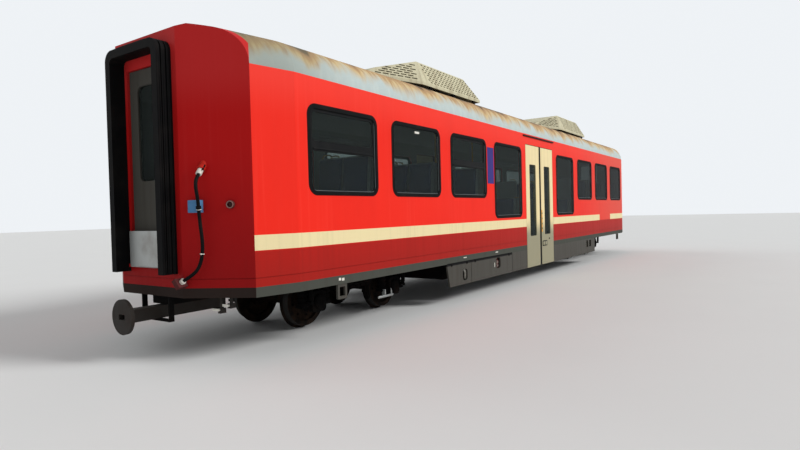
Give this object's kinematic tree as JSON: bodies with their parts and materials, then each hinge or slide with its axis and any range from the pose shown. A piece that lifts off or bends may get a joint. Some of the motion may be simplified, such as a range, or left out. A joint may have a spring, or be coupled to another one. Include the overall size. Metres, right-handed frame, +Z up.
{
  "type": "low-floor coach of a narrow-gauge regional train",
  "caption": "Low-floor railway coach with hollow saloon, plug doors, gangway ends, slotted roof units, turning bogies and rolling wheelsets.",
  "frame": {"origin": "midway between the ends and sides, at the level of the wheel flange tips", "axes": "+X along the coach towards end b, +Y to its left side, +Z up"},
  "size_m": [15.256, 2.444, 3.5106],
  "materials": {
    "red_paint": "satin signal red with faint dirt streaks",
    "roof_paint": "weathered pale grey with tan rust streaks",
    "grey_paint": "satin mid grey",
    "cream_paint": "satin cream",
    "unit_paint": "satin cream, dusty",
    "black_steel": "dull black with brake dust",
    "rail_steel": "dark worn steel",
    "dark_rubber": "matte",
    "tinted_glass": "tinted, clear",
    "dark_frame": "satin black",
    "floor_cover": "matte sheet",
    "seat_shell": "satin",
    "seat_cloth": "woven",
    "pole_paint": "satin",
    "light_metal": "worn, bare",
    "blue_plastic": "matte",
    "socket_metal": "matte",
    "plug_white": "matte",
    "cable_black": "matte"
  },
  "bodies": {
    "coach_body": {"side_wall_right": "red_paint", "side_wall_left": "red_paint", "end_wall_a": "red_paint", "end_wall_b": "red_paint", "roof": "roof_paint", "rain_gutters": "red_paint", "underframe": "grey_paint", "skirts": "grey_paint", "floor": "floor_cover", "window_rubbers": "dark_rubber", "window_glass": "tinted_glass", "vent_sashes": "dark_frame", "plug_doors": "cream_paint", "door_rubbers": "dark_rubber", "roof_units": "unit_paint", "roof_unit_feet": "black_steel", "gangway_frames": "dark_rubber", "seat_shells": "seat_shell", "seat_pads": "seat_cloth", "grab_poles": "pole_paint", "underfloor_cases": "black_steel", "loop_brackets": "light_metal", "end_sockets": "socket_metal", "cable_holder": "blue_plastic", "jumper_plugs": "plug_white", "jumper_cable": "cable_black", "brake_cocks": "black_steel"},
    "bogie_a": {"bogie_frame_a": "black_steel", "axle_boxes_a": "black_steel", "springs_a": "dark_rubber", "brake_gear_a": "black_steel"},
    "wheelset_a1": {"wheelset_a1": "rail_steel"},
    "wheelset_a2": {"wheelset_a2": "rail_steel"},
    "end_door_a": {"end_door_a": "cream_paint", "end_door_glass_a": "tinted_glass"},
    "bridge_plate_a": {"bridge_plate_a": "light_metal"},
    "coupler_a": {"coupler_a": "black_steel"},
    "bogie_b": {"bogie_frame_b": "black_steel", "axle_boxes_b": "black_steel", "springs_b": "dark_rubber", "brake_gear_b": "black_steel"},
    "wheelset_b1": {"wheelset_b1": "rail_steel"},
    "wheelset_b2": {"wheelset_b2": "rail_steel"},
    "end_door_b": {"end_door_b": "cream_paint", "end_door_glass_b": "tinted_glass"},
    "bridge_plate_b": {"bridge_plate_b": "light_metal"},
    "coupler_b": {"coupler_b": "black_steel"},
    "flap_right_1": {"flap_right_1": "grey_paint"},
    "flap_right_2": {"flap_right_2": "grey_paint"},
    "flap_left_1": {"flap_left_1": "grey_paint"},
    "flap_left_2": {"flap_left_2": "grey_paint"}
  },
  "joints": [
    {"name": "bogie_a_turn", "type": "hinge", "parent": "coach_body", "child": "bogie_a", "pos_m": [-4.93, 0, 0.38], "axis": [0, 0, 1], "range_deg": [-8, 8]},
    {"name": "wheelset_a1_roll", "type": "hinge", "parent": "bogie_a", "child": "wheelset_a1", "pos_m": [-5.68, 0, 0.327], "axis": [0, 1, 0], "continuous": true},
    {"name": "wheelset_a2_roll", "type": "hinge", "parent": "bogie_a", "child": "wheelset_a2", "pos_m": [-4.18, 0, 0.327], "axis": [0, 1, 0], "continuous": true},
    {"name": "end_door_a_swing", "type": "hinge", "parent": "coach_body", "child": "end_door_a", "pos_m": [-7.278, 0.272, 1.8], "axis": [0, 0, 1], "range_deg": [0, 90]},
    {"name": "bridge_plate_a_fold", "type": "hinge", "parent": "coach_body", "child": "bridge_plate_a", "pos_m": [-7.348, 0, 0.861], "axis": [0, -1, 0], "range_deg": [0, 88]},
    {"name": "coupler_a_swing", "type": "hinge", "parent": "coach_body", "child": "coupler_a", "pos_m": [-6.56, 0, 0.412], "axis": [0, 0, 1], "range_deg": [-10, 10], "stiffness_Nm_per_rad": 300},
    {"name": "bogie_b_turn", "type": "hinge", "parent": "coach_body", "child": "bogie_b", "pos_m": [4.93, 0, 0.38], "axis": [0, 0, 1], "range_deg": [-8, 8]},
    {"name": "wheelset_b1_roll", "type": "hinge", "parent": "bogie_b", "child": "wheelset_b1", "pos_m": [4.18, 0, 0.327], "axis": [0, 1, 0], "continuous": true},
    {"name": "wheelset_b2_roll", "type": "hinge", "parent": "bogie_b", "child": "wheelset_b2", "pos_m": [5.68, 0, 0.327], "axis": [0, 1, 0], "continuous": true},
    {"name": "end_door_b_swing", "type": "hinge", "parent": "coach_body", "child": "end_door_b", "pos_m": [7.278, 0.272, 1.8], "axis": [0, 0, -1], "range_deg": [0, 90]},
    {"name": "bridge_plate_b_fold", "type": "hinge", "parent": "coach_body", "child": "bridge_plate_b", "pos_m": [7.348, 0, 0.861], "axis": [0, 1, 0], "range_deg": [0, 88]},
    {"name": "coupler_b_swing", "type": "hinge", "parent": "coach_body", "child": "coupler_b", "pos_m": [6.56, 0, 0.412], "axis": [0, 0, 1], "range_deg": [-10, 10], "stiffness_Nm_per_rad": 300},
    {"name": "flap_right_1_swing", "type": "hinge", "parent": "coach_body", "child": "flap_right_1", "pos_m": [-3.3, -1.188, 0.559], "axis": [-1, 0, 0], "range_deg": [0, 90]},
    {"name": "flap_right_2_swing", "type": "hinge", "parent": "coach_body", "child": "flap_right_2", "pos_m": [-2.17, -1.188, 0.559], "axis": [-1, 0, 0], "range_deg": [0, 90]},
    {"name": "flap_left_1_swing", "type": "hinge", "parent": "coach_body", "child": "flap_left_1", "pos_m": [-3.3, 1.188, 0.559], "axis": [1, 0, 0], "range_deg": [0, 90]},
    {"name": "flap_left_2_swing", "type": "hinge", "parent": "coach_body", "child": "flap_left_2", "pos_m": [-2.17, 1.188, 0.559], "axis": [1, 0, 0], "range_deg": [0, 90]}
  ]
}
